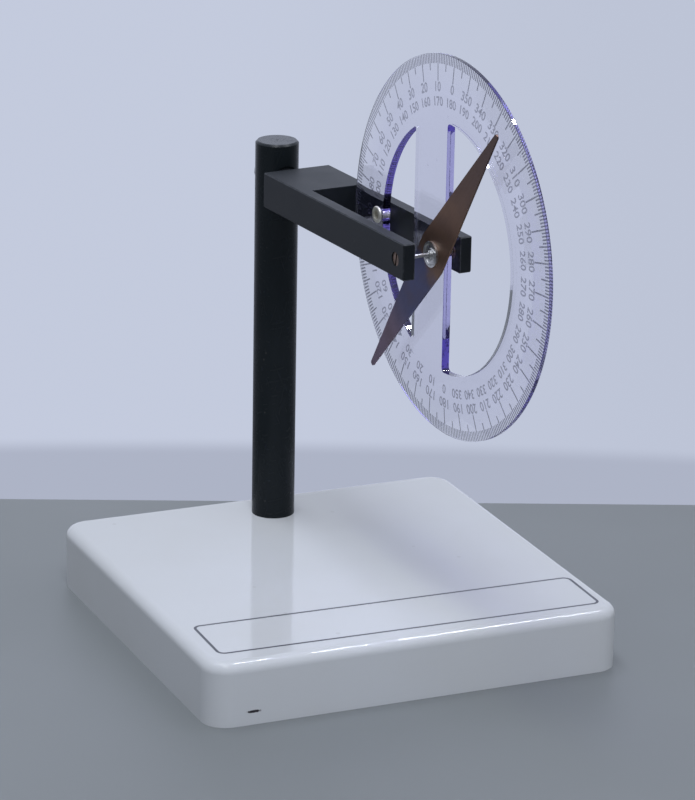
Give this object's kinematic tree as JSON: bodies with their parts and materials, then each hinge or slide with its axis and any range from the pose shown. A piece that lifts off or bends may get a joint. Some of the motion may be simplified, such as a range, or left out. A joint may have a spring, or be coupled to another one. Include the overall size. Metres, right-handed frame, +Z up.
{
  "type": "dip circle",
  "caption": "Dip circle: a balanced magnetic needle on a level axle before a clear degree disc, in a slotted yoke that turns on a black post over a square ivory base.",
  "frame": {"origin": "middle of the base's underside, on the table", "axes": "+Z up along the post, +Y to the back, where the post stands, +X to the right along the base's front edge"},
  "size_m": [0.122, 0.1534, 0.1725],
  "materials": {
    "ivory_plastic": "moulded, glossy, off-white",
    "cover_plastic": "black sheet, matt",
    "black_anodised": "black anodised, satin",
    "black_post": "black anodised, polished round",
    "clear_disc": "clear sheet with violet edges, printed scale",
    "needle_steel": "tempered brown on one half, blued on the other",
    "axle_steel": "bright ground",
    "hub_nickel": "turned, nickel plated",
    "eyelet_nickel": "nickel plated, dulled",
    "bearing_brass": "turned brass, coppery",
    "screw_steel": "bright zinc"
  },
  "bodies": {
    "stand": {"base_shell": "ivory_plastic", "base_cover": "cover_plastic", "cover_screws": "screw_steel", "post": "black_post", "post_screw": "screw_steel", "post_lock_washer": "screw_steel", "post_washer": "screw_steel", "pivot_washer": "screw_steel", "pivot_spacer": "black_anodised"},
    "head": {"yoke": "black_anodised", "pivot_screw": "screw_steel", "pivot_spring_washer": "screw_steel", "front_bearing": "bearing_brass", "rear_bearing": "bearing_brass", "scale_disc": "clear_disc", "disc_eyelets": "eyelet_nickel"},
    "needle": {"needle": "needle_steel", "needle_hub": "hub_nickel", "hub_collar": "hub_nickel", "axle": "axle_steel"}
  },
  "joints": [
    {"name": "yoke_turn", "type": "hinge", "parent": "stand", "child": "head", "pos_m": [0, 0.046, 0.1195], "axis": [0.0872, -0.9962, 0], "continuous": true},
    {"name": "needle_swing", "type": "hinge", "parent": "head", "child": "needle", "pos_m": [0.00771, -0.04215, 0.1195], "axis": [0.9962, 0.0872, 0], "continuous": true}
  ]
}
